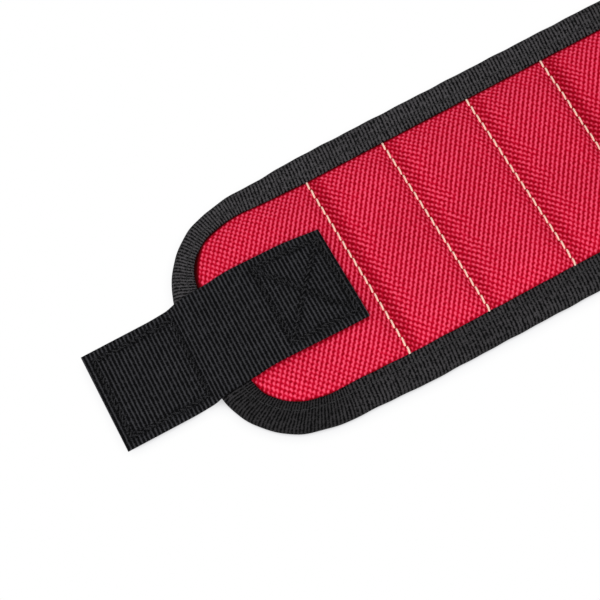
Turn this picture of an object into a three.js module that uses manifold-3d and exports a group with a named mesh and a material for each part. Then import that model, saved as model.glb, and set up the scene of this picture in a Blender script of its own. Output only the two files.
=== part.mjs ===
// Magnetic wristband lying open: a quilted band with a sewn hook tab at one end and a loop strip at the other.
import * as THREE from 'three';
import { mergeVertices } from 'three/addons/utils/BufferGeometryUtils.js';
import Module from 'manifold-3d';

const wasm = await Module();
wasm.setup();

// Plan of the band in millimetres, with X measured from the end that carries the tab
const BAND_WIDTH = 90;
const CORNER_LENGTH = 36;
const CORNER_WIDTH = 32;
const END_ZONE = 58.2;
const COLUMN_WIDTHS = [28.6, 31.6, 28.1, 29.4];
const LOOP_ZONE = 105;

// Thickness of each layer, and the air left between two layers
const GAP = 0.3;
const TAPE = 0.7;
const LINING = 0.8;
const EDGE_FOAM = 1.3;
const CLOTH = 0.6;

// Heights of the front over the surface that the band lies on
const COLUMN_CROWN = 7.6;
const END_CROWN = 7.4;
const LOOP_CROWN = 6.8;
const STITCH_HEIGHT = 5.6;

// Edge binding: how far its two lips reach in from the edge, and the size of its rolled edge
const LIP_REACH = 10.8;
const ROLL = 2.2;
const ROLL_WALL = 0.9;

// Webbing strap with a hook patch under its free end, and the loop strip that takes the hooks
const STRAP_WIDTH = 35;
const STRAP_LENGTH = 85.5;
const STRAP = 1.3;
const TAB_LENGTH = 32.8;
const TAB_STEP = 6;
const TAB_HINGE_X = -1.5;
const HOOK_WIDTH = 32;
const HOOK = 1.8;
const LOOP_STRIP_WIDTH = 36;
const LOOP_STRIP = 1.6;

// Block magnets, two in a column
const MAGNET_LENGTH = 20;
const MAGNET_WIDTH = 24;
const MAGNET_HEIGHT = 3;
const MAGNET_SPACING = 30;

// Largest fold at a hinge line: towards the back when worn, towards the front when bent open
const BACK_FOLD = 48;
const FRONT_FOLD = 13;

// Sizes that follow from the ones above
const HALF_WIDTH = BAND_WIDTH / 2;
const HALF_STRAP = STRAP_WIDTH / 2;
const END_SPLIT = CORNER_LENGTH + 4;
const EDGE_INSET = ROLL + 0.8;
const RIM = LIP_REACH + 0.7;
const RISE = CORNER_WIDTH - RIM - 6.5;
const RAMP = 1.7;
const PUFF = 8;
const MARGIN_LINING = TAPE + GAP;
const MARGIN_FOAM = MARGIN_LINING + LINING + GAP;
const MARGIN_FRONT = MARGIN_FOAM + EDGE_FOAM + GAP + CLOTH;
const EDGE_HEIGHT = MARGIN_FRONT + GAP + TAPE;
const HINGE = EDGE_HEIGHT - 0.2;
const STITCH_LINES = COLUMN_WIDTHS.reduce((lines, width) => [...lines, lines.at(-1) + width], [END_ZONE]);
const LAST_STITCH = STITCH_LINES.at(-1);
const BAND_LENGTH = LAST_STITCH + LOOP_ZONE;
const LOOP_SPLITS = [0.5, 1].map((part) => LAST_STITCH + part * (LOOP_ZONE - END_SPLIT));
const BACK_SLOPE = Math.tan(THREE.MathUtils.degToRad(BACK_FOLD / 2));
const FRONT_SLOPE = Math.tan(THREE.MathUtils.degToRad(FRONT_FOLD / 2));

// Materials
const surface = (color, roughness, metalness = 0) =>
  new THREE.MeshStandardMaterial({ color, roughness, metalness });
const redCloth = surface(0xc6243e, 0.75);
const foam = surface(0xd9d4c6, 0.95);
const mesh = surface(0x1d1d1f, 0.9);
const bindingTape = surface(0x303031, 0.8);
const webbing = surface(0x202022, 0.75);
const hooks = surface(0x18181a, 0.6);
const loops = surface(0x1b1b1d, 0.95);
const steel = surface(0x9a9ca0, 0.35, 1);

// Rigid stretches of the band, each with the height of the hinge line at its two ends
const stretches = [
  { name: 'end_a', x0: 0, x1: END_SPLIT, left: null, right: HINGE },
  { name: 'end_b', x0: END_SPLIT, x1: END_ZONE, left: HINGE, right: HINGE },
  ...COLUMN_WIDTHS.map((width, k) => (
    { name: `column_${k + 1}`, x0: STITCH_LINES[k], x1: STITCH_LINES[k + 1], left: HINGE, right: HINGE }
  )),
  { name: 'loop_1', x0: LAST_STITCH, x1: LOOP_SPLITS[0], left: HINGE, right: HINGE },
  { name: 'loop_2', x0: LOOP_SPLITS[0], x1: LOOP_SPLITS[1], left: HINGE, right: HINGE },
  { name: 'loop_3', x0: LOOP_SPLITS[1], x1: BAND_LENGTH, left: HINGE, right: null },
];

const clamp01 = (value) => THREE.MathUtils.clamp(value, 0, 1);
const lerp = THREE.MathUtils.lerp;

// Clearance that a stretch leaves at a hinge line, growing away from the hinge so that the fold can close
function relief(hinge, z) {
  if (hinge === null) {
    return 0;
  }
  return GAP / 2 + (z < hinge ? (hinge - z) * BACK_SLOPE : (z - hinge) * FRONT_SLOPE);
}

// X of a point at height z, a fraction t of the way along a stretch
const along = (part, t, z) => lerp(part.x0 + relief(part.left, z), part.x1 - relief(part.right, z), t);

// How full the padding is at X: zero on a stitch line, one well away from it
function fullness(x) {
  if (x <= END_ZONE) {
    return { crown: END_CROWN, fill: 1 - (1 - clamp01((END_ZONE - x) / PUFF)) ** 3 };
  }
  if (x >= LAST_STITCH) {
    return { crown: LOOP_CROWN, fill: 1 - (1 - clamp01((x - LAST_STITCH) / PUFF)) ** 3 };
  }
  const k = STITCH_LINES.findLastIndex((line) => line <= x);
  const t = (x - STITCH_LINES[k]) / COLUMN_WIDTHS[k];
  return { crown: COLUMN_CROWN, fill: 1 - Math.abs(2 * t - 1) ** 6 };
}

// Heights of the layers at X and at an inset from the outline
function frontTop(x, inset) {
  const { crown, fill } = fullness(x);
  const rise = 1 - (1 - clamp01((inset - RIM) / RISE)) ** 2.6;
  return MARGIN_FRONT + rise * (STITCH_HEIGHT - MARGIN_FRONT + (crown - STITCH_HEIGHT) * fill);
}
const frontBottom = (x, inset) => frontTop(x, inset) - CLOTH;
const foamTop = (x, inset) => frontBottom(x, inset) - GAP;
const liningBottom = (x, inset) => MARGIN_LINING * (1 - clamp01((inset - RIM) / RAMP));
const liningTop = (x, inset) => liningBottom(x, inset) + LINING;
const foamBottom = (x, inset) => liningTop(x, inset) + GAP;

// Insets of the rows of points in each layer
const riseInset = (part) => RIM + RAMP + part * (RISE - RAMP);
const FRONT_INSETS = [EDGE_INSET, RIM, ...[0, 0.2, 0.5, 1].map(riseInset)];
const FOAM_INSETS = [EDGE_INSET, RIM, ...[0, 0.4, 1].map(riseInset)];
const LINING_INSETS = [EDGE_INSET, RIM, riseInset(0)];

// Fractions along a stretch where its padding bends
function frontStations(part) {
  if (part.name.startsWith('column')) {
    return [0, 0.03, 0.08, 0.15, 0.3, 0.7, 0.85, 0.92, 0.97, 1];
  }
  const bends = [0, 0.1, 0.3, 0.6, 1].map((share) => share * PUFF / (part.x1 - part.x0)).filter((t) => t < 1);
  if (part.name === 'end_b') {
    return [0, ...bends.map((t) => 1 - t).reverse()];
  }
  return part.name === 'loop_1' ? [...bends, 1] : [0, 1];
}

// A closed slab between matching points above and below, with its top faces and its rim given
function closedSlab(top, bottom, faces, rim) {
  const below = top.length;
  const index = [];
  for (const [a, b, c] of faces) {
    index.push(a, b, c);
    index.push(below + c, below + b, below + a);
  }
  rim.forEach((a, k) => {
    const b = rim[(k + 1) % rim.length];
    index.push(below + a, below + b, b);
    index.push(below + a, b, a);
  });
  const geometry = new THREE.BufferGeometry();
  geometry.setAttribute('position', new THREE.Float32BufferAttribute([...top, ...bottom].flat(), 3));
  geometry.setIndex(index);
  geometry.computeVertexNormals();
  return geometry;
}

// Faces and edges of a grid of points counted row by row
function gridTopology(rows, columns) {
  const at = (i, j) => i * columns + j;
  const faces = [];
  for (let i = 0; i + 1 < rows; i++) {
    for (let j = 0; j + 1 < columns; j++) {
      faces.push([at(i, j), at(i + 1, j), at(i + 1, j + 1)]);
      faces.push([at(i, j), at(i + 1, j + 1), at(i, j + 1)]);
    }
  }
  const count = (n) => [...Array(n).keys()];
  const first = count(rows).map((i) => at(i, 0));
  const last = count(rows).map((i) => at(i, columns - 1));
  const end = count(columns).map((j) => at(rows - 1, j));
  const start = count(columns).map((j) => at(0, j));
  return { faces, first, last, end, start };
}

// A layer of a straight stretch
function straightLayer(part, stations, insets, topHeight, bottomHeight) {
  const sides = [...insets.map((inset) => [inset, -1]), ...insets.toReversed().map((inset) => [inset, 1])];
  const points = (height) => stations.flatMap((t) => sides.map(([inset, side]) => {
    const z = height(lerp(part.x0, part.x1, t), inset);
    return [along(part, t, z), side * (HALF_WIDTH - inset), z];
  }));
  const { faces, first, last, end, start } = gridTopology(stations.length, sides.length);
  const rim = [...first, ...end.slice(1), ...last.toReversed().slice(1), ...start.toReversed().slice(1, -1)];
  return closedSlab(points(topHeight), points(bottomHeight), faces, rim);
}

// Points of the rounded end's outline at an inset, from the hinge line round the end and back to it
function endPath(part, inset, z) {
  const hinge = part.left === null ? part.right : part.left;
  const cut = END_SPLIT - relief(hinge, z);
  const steps = 8;
  const arc = (centre, from) => [...Array(steps + 1).keys()].map((k) => {
    const angle = from + (k / steps) * Math.PI / 2;
    const x = CORNER_LENGTH + (CORNER_LENGTH - inset) * Math.cos(angle);
    return [x, centre + (CORNER_WIDTH - inset) * Math.sin(angle)];
  });
  const centre = HALF_WIDTH - CORNER_WIDTH;
  const side = HALF_WIDTH - inset;
  const path = [[cut, side], ...arc(centre, Math.PI / 2), ...arc(-centre, Math.PI), [cut, -side]];
  return path.map(([x, y]) => (part.left === null ? [x, y, z] : [BAND_LENGTH - x, -y, z]));
}

// A layer of a rounded end, in rows from the outline inwards, with a flat middle
function endLayer(part, insets, topHeight, bottomHeight) {
  const middle = (part.left === null ? part.x1 : part.x0);
  const points = (height) => {
    const rows = insets.map((inset) => endPath(part, inset, height(middle, inset)));
    return rows[0].flatMap((_, i) => rows.map((row) => row[i]));
  };
  const top = points(topHeight);
  const { faces, first, last, end, start } = gridTopology(top.length / insets.length, insets.length);
  const outline = last.map((k) => new THREE.Vector2(top[k][0], top[k][1]));
  const cap = THREE.ShapeUtils.triangulateShape(outline, []).map((face) => face.map((k) => last[k]));
  const rim = [...first, ...end.slice(1), ...start.toReversed().slice(0, -1)];
  return closedSlab(top, points(bottomHeight), [...faces, ...cap], rim);
}

const isEnd = (part) => part.left === null || part.right === null;

function layer(part, insets, topHeight, bottomHeight, stations) {
  return isEnd(part)
    ? endLayer(part, insets, topHeight, bottomHeight)
    : straightLayer(part, stations, insets, topHeight, bottomHeight);
}

// Folded binding tape in section: inset from the edge and height
const tapeSection = [
  [LIP_REACH, 0],
  [LIP_REACH, TAPE],
  [ROLL + 0.2, TAPE],
  [ROLL_WALL, TAPE + ROLL - ROLL_WALL],
  [ROLL_WALL, EDGE_HEIGHT - TAPE - ROLL + ROLL_WALL],
  [ROLL + 0.2, EDGE_HEIGHT - TAPE],
  [LIP_REACH, EDGE_HEIGHT - TAPE],
  [LIP_REACH, EDGE_HEIGHT],
  [ROLL, EDGE_HEIGHT],
  [0.3 * ROLL, EDGE_HEIGHT - 0.3 * ROLL],
  [0, EDGE_HEIGHT - 0.85 * ROLL],
  [0, 0.85 * ROLL],
  [0.3 * ROLL, 0.3 * ROLL],
  [ROLL, 0],
];

// A closed bar through matching rings of points, with flat ends
function sweptBar(rings) {
  const size = rings[0].length;
  const index = [];
  for (let i = 0; i + 1 < rings.length; i++) {
    for (let k = 0; k < size; k++) {
      const a = i * size + k;
      const b = i * size + (k + 1) % size;
      index.push(a, b, b + size);
      index.push(a, b + size, a + size);
    }
  }
  const outline = tapeSection.map(([inset, z]) => new THREE.Vector2(inset, z));
  const finish = (rings.length - 1) * size;
  for (const [a, b, c] of THREE.ShapeUtils.triangulateShape(outline, [])) {
    index.push(c, b, a);
    index.push(finish + a, finish + b, finish + c);
  }
  const geometry = new THREE.BufferGeometry();
  geometry.setAttribute('position', new THREE.Float32BufferAttribute(rings.flat(2), 3));
  geometry.setIndex(index);
  geometry.computeVertexNormals();
  return geometry;
}

function straightBinding(part, side) {
  const fractions = side < 0 ? [0, 1] : [1, 0];
  const ring = (t) => tapeSection.map(([inset, z]) => [along(part, t, z), side * (HALF_WIDTH - inset), z]);
  return sweptBar(fractions.map(ring));
}

function endBinding(part) {
  const paths = tapeSection.map(([inset, z]) => endPath(part, inset, z));
  return sweptBar(paths[0].map((_, i) => paths.map((path) => path[i])));
}

// Foam of a magnet column: the layer with two pockets cut into its underside
const asSolid = (geometry) => {
  const bare = geometry.clone();
  bare.deleteAttribute('normal');
  bare.deleteAttribute('uv');
  const merged = mergeVertices(bare, 1e-4);
  return new wasm.Manifold(new wasm.Mesh({
    numProp: 3,
    vertProperties: new Float32Array(merged.attributes.position.array),
    triVerts: new Uint32Array(merged.index.array),
  }));
};

const MAGNET_FLOOR = LINING + GAP;
const magnetPlaces = (part) => [-1, 1].map((side) => [(part.x0 + part.x1) / 2, side * MAGNET_SPACING / 2]);

function pocketedFoam(part, plain) {
  const pocketHeight = MAGNET_HEIGHT + GAP + 1;
  const cuts = magnetPlaces(part).map(([x, y]) => {
    const box = new THREE.BoxGeometry(MAGNET_LENGTH + 2 * GAP, MAGNET_WIDTH + 2 * GAP, pocketHeight);
    return asSolid(box.translate(x, y, MAGNET_FLOOR - 1 + pocketHeight / 2));
  });
  const cut = cuts.reduce((solid, pocket) => solid.subtract(pocket), asSolid(plain)).getMesh();
  const geometry = new THREE.BufferGeometry();
  geometry.setAttribute('position', new THREE.BufferAttribute(new Float32Array(cut.vertProperties), 3));
  geometry.setIndex(new THREE.BufferAttribute(new Uint32Array(cut.triVerts), 1));
  geometry.computeVertexNormals();
  return geometry;
}

// A flat ribbon that follows a height along X, between two hinge lines or free ends
function ribbon(part, stops, halfWidth, bottomHeight, thickness) {
  const stations = stops.map((x) => (x - part.x0) / (part.x1 - part.x0));
  const points = (lift) => stations.flatMap((t) => [-1, 1].map((side) => {
    const z = bottomHeight(lerp(part.x0, part.x1, t)) + lift;
    return [along(part, t, z), side * halfWidth, z];
  }));
  const { faces, first, last, end, start } = gridTopology(stations.length, 2);
  const rim = [...first, ...end.slice(1), ...last.toReversed().slice(1), ...start.toReversed().slice(1, -1)];
  return closedSlab(points(thickness), points(0), faces, rim);
}

// Underside of the strap: low over its hook patch, up over the bound edge, then on the padded front
const STRAP_LOW = HOOK + GAP;
const STRAP_ON_EDGE = EDGE_HEIGHT + GAP;
function strapBottom(x) {
  if (x < ROLL) {
    const step = clamp01((x + TAB_STEP) / (ROLL + TAB_STEP));
    return lerp(STRAP_LOW, STRAP_ON_EDGE, THREE.MathUtils.smoothstep(step, 0, 1));
  }
  const inset = Math.min(x, HALF_WIDTH - HALF_STRAP);
  return Math.max(STRAP_ON_EDGE, frontTop(x, inset) + GAP);
}
const stripBottom = (x) => frontTop(x, Math.min(HALF_WIDTH - LOOP_STRIP_WIDTH / 2, BAND_LENGTH - x)) + GAP;
const STRAP_END = STRAP_LENGTH - TAB_LENGTH;
const STRIP_START = LAST_STITCH + 5;
const STRIP_END = BAND_LENGTH - RIM - 2.5;
const TAB_HINGE = strapBottom(TAB_HINGE_X) + STRAP;

// Stops along a ribbon: its two ends and every bend between them
const stopsBetween = (x0, x1, bends) => [x0, ...bends.filter((x) => x > x0 + 0.5 && x < x1 - 0.5), x1];
const steps = (from, to, count) => [...Array(count + 1).keys()].map((k) => lerp(from, to, k / count));
const strapBends = [
  ...steps(-TAB_STEP, ROLL, 6),
  ...steps(RIM, RIM + RISE, 5),
  ...steps(END_ZONE - PUFF, END_ZONE, 5),
];
const stripBends = [...steps(LAST_STITCH, LAST_STITCH + PUFF, 5), ...steps(BAND_LENGTH - RIM - RISE, STRIP_END, 4)];

function strapPiece(x0, x1, left, right) {
  return ribbon({ x0, x1, left, right }, stopsBetween(x0, x1, strapBends), HALF_STRAP, strapBottom, STRAP);
}

function loopStripPiece(part) {
  const x0 = Math.max(part.x0, STRIP_START);
  const x1 = Math.min(part.x1, STRIP_END);
  const left = part.x0 < STRIP_START ? null : part.left;
  const right = part.x1 > STRIP_END ? null : part.right;
  const stops = stopsBetween(x0, x1, stripBends);
  return ribbon({ x0, x1, left, right }, stops, LOOP_STRIP_WIDTH / 2, stripBottom, LOOP_STRIP);
}

// Assembly
const band = new THREE.Group();
band.position.x = -(BAND_LENGTH - TAB_LENGTH) / 2;

function add(group, name, geometry, material) {
  const piece = new THREE.Mesh(geometry, material);
  piece.name = name;
  group.add(piece);
}

for (const part of stretches) {
  const group = new THREE.Group();
  const column = part.name.startsWith('column');
  const foamLayer = layer(part, FOAM_INSETS, foamTop, foamBottom, frontStations(part));
  add(group, `front_${part.name}`, layer(part, FRONT_INSETS, frontTop, frontBottom, frontStations(part)), redCloth);
  add(group, `foam_${part.name}`, column ? pocketedFoam(part, foamLayer) : foamLayer, foam);
  add(group, `lining_${part.name}`, layer(part, LINING_INSETS, liningTop, liningBottom, [0, 1]), mesh);
  if (isEnd(part)) {
    add(group, `binding_${part.name}`, endBinding(part), bindingTape);
  } else {
    add(group, `binding_${part.name}_near`, straightBinding(part, -1), bindingTape);
    add(group, `binding_${part.name}_far`, straightBinding(part, 1), bindingTape);
  }
  if (column) {
    magnetPlaces(part).forEach(([x, y], k) => {
      const block = new THREE.BoxGeometry(MAGNET_LENGTH, MAGNET_WIDTH, MAGNET_HEIGHT);
      block.translate(x, y, MAGNET_FLOOR + MAGNET_HEIGHT / 2);
      add(group, `magnet_${part.name}_${k ? 'far' : 'near'}`, block, steel);
    });
  }
  if (part.name === 'end_a') {
    add(group, 'strap_bridge', strapPiece(TAB_HINGE_X, END_SPLIT, TAB_HINGE, HINGE), webbing);
  }
  if (part.name === 'end_b') {
    add(group, 'strap_anchor', strapPiece(END_SPLIT, STRAP_END, HINGE, null), webbing);
  }
  if (part.name.startsWith('loop')) {
    add(group, `${part.name.replace('loop', 'loop_strip')}`, loopStripPiece(part), loops);
  }
  band.add(group);
}

const tab = new THREE.Group();
add(tab, 'strap_tab', strapPiece(-TAB_LENGTH, TAB_HINGE_X, null, TAB_HINGE), webbing);
const hookLength = TAB_LENGTH - TAB_STEP - 1.5;
const hookPatch = new THREE.BoxGeometry(hookLength, HOOK_WIDTH, HOOK);
hookPatch.translate(-TAB_STEP - hookLength / 2, 0, HOOK / 2);
add(tab, 'hook_patch', hookPatch, hooks);
band.add(tab);

export default band;
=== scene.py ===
# Magnetic wristband lying open: quilted red front, ribbed edge binding, webbing strap and their threads
import math
from collections import namedtuple

import bmesh
import bpy
import numpy as np
from mathutils import Matrix, Vector


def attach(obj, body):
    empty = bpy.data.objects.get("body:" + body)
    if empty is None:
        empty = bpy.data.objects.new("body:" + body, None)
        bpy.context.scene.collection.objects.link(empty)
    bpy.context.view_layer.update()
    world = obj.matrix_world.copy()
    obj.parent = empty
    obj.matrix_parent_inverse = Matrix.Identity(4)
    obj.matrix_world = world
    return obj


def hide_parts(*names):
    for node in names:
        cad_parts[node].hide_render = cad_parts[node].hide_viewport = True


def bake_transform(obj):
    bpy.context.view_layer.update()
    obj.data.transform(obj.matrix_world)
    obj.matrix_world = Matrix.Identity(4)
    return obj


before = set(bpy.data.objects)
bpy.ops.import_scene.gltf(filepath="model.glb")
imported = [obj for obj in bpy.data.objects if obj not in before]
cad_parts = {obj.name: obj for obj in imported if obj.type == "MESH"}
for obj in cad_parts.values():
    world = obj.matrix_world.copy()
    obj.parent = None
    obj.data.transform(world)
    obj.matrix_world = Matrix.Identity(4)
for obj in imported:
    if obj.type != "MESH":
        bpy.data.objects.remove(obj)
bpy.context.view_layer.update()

# Plan of the band in millimetres, with X measured from the end that carries the tab
MM = 0.001
HALF_WIDTH = 45.0
CORNER_LENGTH = 36.0
CORNER_WIDTH = 32.0
END_ZONE = 58.2
COLUMN_WIDTHS = (28.6, 31.6, 28.1, 29.4)
LOOP_ZONE = 105.0
SPLIT_MARGIN = 4.0

# Lean and waist of the padded end, and the stretches over which they come and go
END_LEAN = 0.05
LEAN_RUN = (-10, 90)
END_WAIST = 0.022
WAIST_START = (14, 27)
WAIST_END = (38, 62)
WAIST_SIDE = (15, 40)

# Heights over the surface that the band lies on
COLUMN_CROWN = 7.6
END_CROWN = 7.4
LOOP_CROWN = 6.8
STITCH_HEIGHT = 5.6
MARGIN_FRONT = 4.3
EDGE_HEIGHT = 5.3
HINGE = 5.1
CORE_FLOOR = 2.5

# Padding: the inset where it starts to rise, its runs from the edge and from a stitch row, and its fullness
RIM = 11.5
RISE = 14.0
PUFF = 8.0
RISE_POWER = 2.6
PUFF_POWER = 3
CROWN_POWER = 6

# Red cloth: its swelling beside the lip, the pull of the stitches, its slack, and its fit under a ribbon
LIP_SWELL = 0.9
SWELL_RUN = (-0.8, 1.2)
FREE_RUN = 4.0
PUCKER = 0.22
PUCKER_WIDTH = 1.5
PULL = 0.1
PULL_WIDTH = 6.0
SLACK = 0.1
SINK = 0.1
PRESS_INSIDE = 0.5
PRESS_OUTSIDE = 3.0
PRESS_GAP = 0.15

# Back lining, and the hidden edge that all layers share
LINING = 0.8
LINING_MARGIN = 1.0
LINING_RUN = 1.7
TUCK = 6.0

# Edge binding
LIP_REACH = 10.8
LIP_STITCH = 7.4
EDGE_ROLL = 3.4
EDGE_FULLNESS = 0.8
TAPE_SKEW = 0.11
TAPE_WAVE = 0.05
SEAM_TOP = EDGE_HEIGHT - 0.17
SEAM_UNDER = 0.09

# Share of the lip's reach that its width takes up, and what the far side and two corners take from it
LIP_SHARE = 0.985
FAR_LOSS = 0.06
FAR_RUN = (-20, 20)
FAR_CORNER_LOSS = 0.28
FAR_CORNER_X = (18, 58)
FAR_CORNER_Y = (12, 32)
NEAR_CORNER_LOSS = 0.085
NEAR_CORNER_X = (20, 34)
NEAR_CORNER_Y = (17, 28)

# Webbing strap: its cut, its climb over the bound edge, and its lie on the padded end
TAB_LENGTH = 32.8
STRAP_LENGTH = 85.5
STRAP = 1.3
HALF_STRAP = 18.0
STRAP_OVERHANG = 0.7
STRAP_CUT = 16.0
STRAP_LEAD = 11.0
STRAP_RISE = 3.0
ROLL = 3.0
LEAD_SHARE = 0.4
GAP = 0.3
TAB_HINGE_X = -1.5
TAB_REACH = 5.5
RIB_SKEW = 0.01
ASKEW = 0.85
ASKEW_START = (-4, 14)
ASKEW_END = (10, 56)
STRAP_SHIFT = 0.08
DRAWN_IN = 0.67
DRAWN_RUN = (38, 56)

# Rows sewn through the strap: a crossed box on the band, and a box round the hook patch
BOX_START = 27.6
BOX_END = 50.6
HALF_BOX = 14.4
HOOK_ROW_START = -30.4
HOOK_ROW_END = -2.5
STITCH_DIP = 0.22
DIP_WIDTH = 1.2
THREAD_SINK = 0.18

# Hook patch under the tab, and one hook as forward reach, height and radius from foot to tip
HOOK = 1.8
HALF_HOOK = 16.0
HOOK_BASE = 1.0
HOOK_INSET = 1.5
TAB_STEP = 6.0
HOOK_PITCH = 1.5
HOOK_MARGIN = 0.9
HOOK_SIDES = 5
HOOK_SHAPE = np.array([(0.0, 1.05, 0.24), (0.0, 0.6, 0.18), (0.08, 0.28, 0.15), (0.3, 0.12, 0.13),
                       (0.55, 0.3, 0.08)])

# Loop strip: pile inside a flat woven edge
LOOP_STRIP = 1.6
HALF_LOOP = 18.0
STRIP_MARGIN = 5.0
STRIP_END_MARGIN = 2.5
SELVAGE = 2.6
SELVAGE_RUN = 0.9
SELVAGE_DIP = 0.55
STRIP_ROW_INSET = 1.3
STRIP_THREAD_LIFT = 0.04

# Stitches in each kind of row, and one stitch as share of its length, lift and swell in thread radii
Stitch = namedtuple("Stitch", "pitch radius slant")
QUILT_STITCH = Stitch(3.5, 0.34, 0.2)
SEAM_STITCH = Stitch(3.0, 0.17, 0.08)
STRAP_STITCH = Stitch(2.1, 0.27, 0.6)
STRIP_STITCH = Stitch(2.6, 0.24, 0.1)
QUILT_STITCHES = 20
QUILT_LIFT = 0.1
THREAD_SIDES = 6
STITCH_SHAPE = np.array([(0.035, -0.9, 0.6), (0.12, 0.25, 0.9), (0.28, 0.75, 1.0), (0.5, 0.8, 1.0),
                         (0.72, 0.75, 1.0), (0.88, 0.25, 0.9), (0.965, -0.9, 0.6)])

# Weave of the red cloth: pairs of yarns to a millimetre along and across the band, and their stray
WARP_PAIRS = 0.5175
WEFT_PAIRS = 0.4
WARP_STRAY = 0.012
WEFT_STRAY = -0.0195

# Painted highlight pattern of the weave, standing in for how light falls on the column's slopes: share of
# the lit floats on the rising diagonal, and what it loses beside the stitch rows
COLUMN_LIT_FLOATS = 0.84
AFTER_ROW_LOSS = 0.54
AFTER_ROW_RUN = (0.08, 0.42)
BEFORE_ROW_LOSS = 0.2
BEFORE_ROW_RUN = (0.72, 0.95)
END_LIT_FLOATS = 0.52
END_GAIN = 0.3
END_GAIN_RUN = (14, 44)
LOOP_LIT_FLOATS = 0.7
EDGE_LIT_FLOATS = 0.55
EDGE_LIT_FLOATS_SHARE = 0.7
EDGE_LIT_FLOATS_RUN = 9.0

# Darkening of the tape: a deeper tone all over, and painted shade on the near side and round the near
# corner
TAPE_TONE = 0.1
TAPE_NEAR_SHADE = 0.28
TAPE_NEAR_RUN = (-25, 15)
TAPE_CORNER_SHADE = 0.27
TAPE_CORNER_X = (24, 48)
TAPE_CORNER_Y = (-24, -8)

# Painted shade on the cloth: under the lip and beside each stitch row; a slight darkening along the middle;
# painted shadow beside the strap
LIP_SHADE = 0.5
LIP_FAR_SHADE = 0.4
LIP_SHADE_RUN = 0.5
LIP_FAR_RUN = 0.9
BEFORE_ROW_SHADE = 0.04
BEFORE_ROW_WIDTH = 3.5
AFTER_ROW_SHADES = (0.2, 0.135, 0.135, 0.215, 0.16)
AFTER_ROW_WIDTH = 4.2
AFTER_ROW_POWER = 4
MIDDLE_TONE = 0.03
MIDDLE_WIDTH = 16.0
MIDDLE_RUN = 20.0
CONTACT_SHADOW = 0.3
CONTACT_RUN = (-0.2, 0.7)
SHADOW_TONE = 0.06
SHADOW_RUN = (0.0, 3.0)

# Steps of the meshes
CLOTH_STEP = 0.8
CLOTH_COLUMNS = 91
LINING_STEP = 2.0
LINING_COLUMNS = 41
SIDE_CROWDING = 0.4 * math.pi
TAPE_STEP = 1.2
CORNER_STEPS = 48
END_STEPS = 20
RIBBON_STEP = 0.7
RIBBON_COLUMNS = 49
HOOK_BASE_ROWS = 20
HOOK_BASE_COLUMNS = 24
BESIDE_STITCHES = (0.25, 0.6, 1.1, 1.7, 2.4, 3.2)
LEAST_STEP = 0.35
QUILT_POINTS = 281
STRAP_ROW_POINTS = 60
STRIP_ROW_POINTS = 80
RUN_STEP = 0.1
HALVINGS = 24
SHARP_ANGLE = math.radians(50)

# Sizes that follow from the ones above
STITCH_LINES = np.cumsum((END_ZONE,) + COLUMN_WIDTHS)
LAST_STITCH = STITCH_LINES[-1]
BAND_LENGTH = LAST_STITCH + LOOP_ZONE
BAND_CENTRE = (BAND_LENGTH - TAB_LENGTH) / 2
END_SPLIT = CORNER_LENGTH + SPLIT_MARGIN
CORNER_Y = HALF_WIDTH - CORNER_WIDTH
LOOP_SPLITS = [LAST_STITCH + part * (LOOP_ZONE - END_SPLIT) for part in (0.5, 1)]
STRAP_TIP = -TAB_LENGTH - STRAP_OVERHANG
STRAP_END = STRAP_LENGTH - TAB_LENGTH
HOOK_START = -TAB_LENGTH + HOOK_INSET
STRIP_START = LAST_STITCH + STRIP_MARGIN
STRIP_END = BAND_LENGTH - RIM - STRIP_END_MARGIN
HALF_QUILT = QUILT_STITCHES / 2 * QUILT_STITCH.pitch

# The band is split at the lines where it bends, between stiff stretches, and each soft piece spans one line
# from middle to middle
STRETCHES = ["end_a", "end_b", "column_1", "column_2", "column_3", "column_4", "loop_1", "loop_2", "loop_3"]
HINGES = [END_SPLIT, *STITCH_LINES, *LOOP_SPLITS]
# Reach to both sides of each line, kept with each span; nothing here bends the pieces over it
REACHES = (8.5, 8.0, 8.0, 8.0, 8.0, 7.0, 9.0, 9.0)
Span = namedtuple("Span", "number left right hinge reach x0 x1")


def make_spans():
    edges = [0.0, *HINGES, BAND_LENGTH]
    middles = [(a + b) / 2 for a, b in zip(edges, edges[1:])]
    cuts = [0.0, *middles[1:-1], BAND_LENGTH]
    spans = []
    for k, hinge in enumerate(HINGES):
        spans.append(Span(k + 1, STRETCHES[k], STRETCHES[k + 1], hinge, REACHES[k], cuts[k], cuts[k + 1]))
    return spans


SPANS = make_spans()


# Curves that the shapes are made of
def ramp(value, low, high):
    return np.clip((value - low) / (high - low), 0, 1)


def smooth(value, low, high):
    t = ramp(value, low, high)
    return t * t * (3 - 2 * t)


def eased(value, run, power):
    return 1 - (1 - np.clip(value / run, 0, 1)) ** power


def bell(value, width, power=2):
    return np.exp(-(value / width) ** power)


def run_along(points):
    return np.concatenate([[0], np.cumsum(np.linalg.norm(np.diff(points, axis=0), axis=1))])


def run_around(points):
    return run_along(np.concatenate([points, points[:1]]))


# Place across a quilted column, from 0 at its first stitch row to 1 at its last
def column_share(x):
    column = np.clip(np.searchsorted(STITCH_LINES, x, side="right") - 1, 0, len(COLUMN_WIDTHS) - 1)
    return (x - STITCH_LINES[column]) / np.take(COLUMN_WIDTHS, column)


# Height of the crown along the band, and the share of it that the padding reaches there
def padding(x):
    zones = [x <= END_ZONE, x >= LAST_STITCH]
    near_end = eased(END_ZONE - x, PUFF, PUFF_POWER)
    near_loop = eased(x - LAST_STITCH, PUFF, PUFF_POWER)
    in_column = 1 - np.abs(2 * column_share(x) - 1) ** CROWN_POWER
    crown = np.select(zones, [END_CROWN, LOOP_CROWN], COLUMN_CROWN)
    fill = np.select(zones, [near_end, near_loop], in_column)
    return crown, fill


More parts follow.
